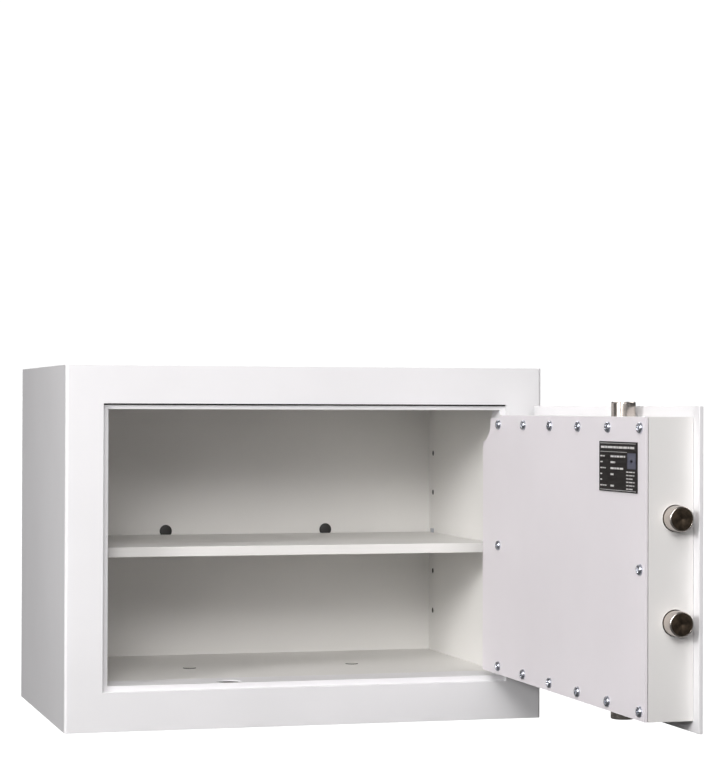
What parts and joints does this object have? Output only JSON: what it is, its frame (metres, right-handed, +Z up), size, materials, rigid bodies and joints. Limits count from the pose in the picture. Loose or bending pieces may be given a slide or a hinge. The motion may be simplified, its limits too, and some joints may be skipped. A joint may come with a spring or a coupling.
{
  "type": "fire-resistant document safe",
  "caption": "White steel cabinet safe with a lined, shelved inside and a right-hinged insulated door that locks with round bolts driven by a lever handle.",
  "frame": {"origin": "centre of the cabinet's footprint, on the underside of the casing", "axes": "+Z up, +X to the right and +Y to the back as seen from in front of the cabinet; the open door stands out along -Y at the right"},
  "size_m": [0.473, 0.6719, 0.325],
  "materials": {
    "casing_paint": "satin",
    "door_paint": "satin",
    "liner_paint": "satin",
    "zinc_plate": "satin",
    "bolt_nickel": "polished",
    "handle_chrome": "polished",
    "fire_board": "matte",
    "black_plug": "matte",
    "white_plug": "matte",
    "data_plate": "satin"
  },
  "bodies": {
    "cabinet": {"outer_casing": "casing_paint", "back_panel": "casing_paint", "door_frame": "casing_paint", "inner_liner": "liner_paint", "shelf": "liner_paint", "fire_board_top": "fire_board", "fire_board_bottom": "fire_board", "fire_board_left": "fire_board", "fire_board_right": "fire_board", "fire_board_back": "fire_board", "shelf_clip_front_left": "zinc_plate", "shelf_clip_back_left": "zinc_plate", "shelf_clip_front_right": "zinc_plate", "shelf_clip_back_right": "zinc_plate", "anchor_plug_back_left": "black_plug", "anchor_plug_back_right": "black_plug", "anchor_plug_floor_left": "white_plug", "anchor_plug_floor_right": "white_plug", "hinge_bracket_lower": "zinc_plate", "hinge_bracket_upper": "zinc_plate", "hinge_pin_lower": "zinc_plate", "hinge_pin_upper": "zinc_plate"},
    "door": {"hinge_arm_lower": "zinc_plate", "hinge_arm_upper": "zinc_plate", "door_plate": "casing_paint", "door_box": "casing_paint", "door_fire_board": "fire_board", "cover_plate": "door_paint", "data_plate": "data_plate", "handle_rosette": "handle_chrome", "lock_case": "zinc_plate", "lock_escutcheon": "handle_chrome", "keyhole_cover_rivet": "zinc_plate", "cover_screw_01": "zinc_plate", "cover_screw_02": "zinc_plate", "cover_screw_03": "zinc_plate", "cover_screw_04": "zinc_plate", "cover_screw_05": "zinc_plate", "cover_screw_06": "zinc_plate", "cover_screw_07": "zinc_plate", "cover_screw_08": "zinc_plate", "cover_screw_09": "zinc_plate", "cover_screw_10": "zinc_plate", "cover_screw_11": "zinc_plate", "cover_screw_12": "zinc_plate", "cover_screw_13": "zinc_plate", "cover_screw_14": "zinc_plate"},
    "handle": {"lever_handle": "handle_chrome", "spindle_cam": "zinc_plate"},
    "side_bolts": {"side_bolt_bar": "zinc_plate", "side_bolt_lower": "bolt_nickel", "side_bolt_upper": "bolt_nickel"},
    "upper_bolt": {"top_bolt": "bolt_nickel", "top_bolt_bar": "zinc_plate"},
    "lower_bolt": {"bottom_bolt": "bolt_nickel", "bottom_bolt_bar": "zinc_plate"},
    "key": {"key_plug": "handle_chrome"},
    "deadlock": {"lock_bolt": "bolt_nickel"},
    "key_flap": {"keyhole_cover": "handle_chrome"}
  },
  "joints": [
    {"name": "door_hinge", "type": "hinge", "parent": "cabinet", "child": "door", "pos_m": [0.207, -0.1335, 0.1625], "axis": [0, 0, 1], "range_deg": [-90, 0]},
    {"name": "handle_turn", "type": "hinge", "parent": "door", "child": "handle", "pos_m": [0.2145, -0.4105, 0.1625], "axis": [-1, 0, 0], "range_deg": [0, 60]},
    {"name": "side_bolts_slide", "type": "slide", "parent": "door", "child": "side_bolts", "axis": [0, 1, 0], "range_m": [0, 0.014]},
    {"name": "upper_bolt_slide", "type": "slide", "parent": "door", "child": "upper_bolt", "axis": [0, 0, -1], "range_m": [0, 0.014]},
    {"name": "lower_bolt_slide", "type": "slide", "parent": "door", "child": "lower_bolt", "axis": [0, 0, 1], "range_m": [0, 0.014]},
    {"name": "key_turn", "type": "hinge", "parent": "door", "child": "key", "pos_m": [0.2145, -0.3495, 0.222], "axis": [-1, 0, 0], "range_deg": [0, 90]},
    {"name": "deadlock_slide", "type": "slide", "parent": "door", "child": "deadlock", "axis": [0, -1, 0], "range_m": [0, 0.008]},
    {"name": "key_flap_swing", "type": "hinge", "parent": "door", "child": "key_flap", "pos_m": [0.2145, -0.3495, 0.243], "axis": [-1, 0, 0], "range_deg": [-110, 110]}
  ],
  "couplings": [
    {"joint": "side_bolts_slide", "follows": "handle_turn", "m_per_rad": 0.013369},
    {"joint": "upper_bolt_slide", "follows": "handle_turn", "m_per_rad": 0.013369},
    {"joint": "lower_bolt_slide", "follows": "handle_turn", "m_per_rad": 0.013369},
    {"joint": "key_turn", "follows": "deadlock_slide", "rad_per_m": 196.35}
  ]
}
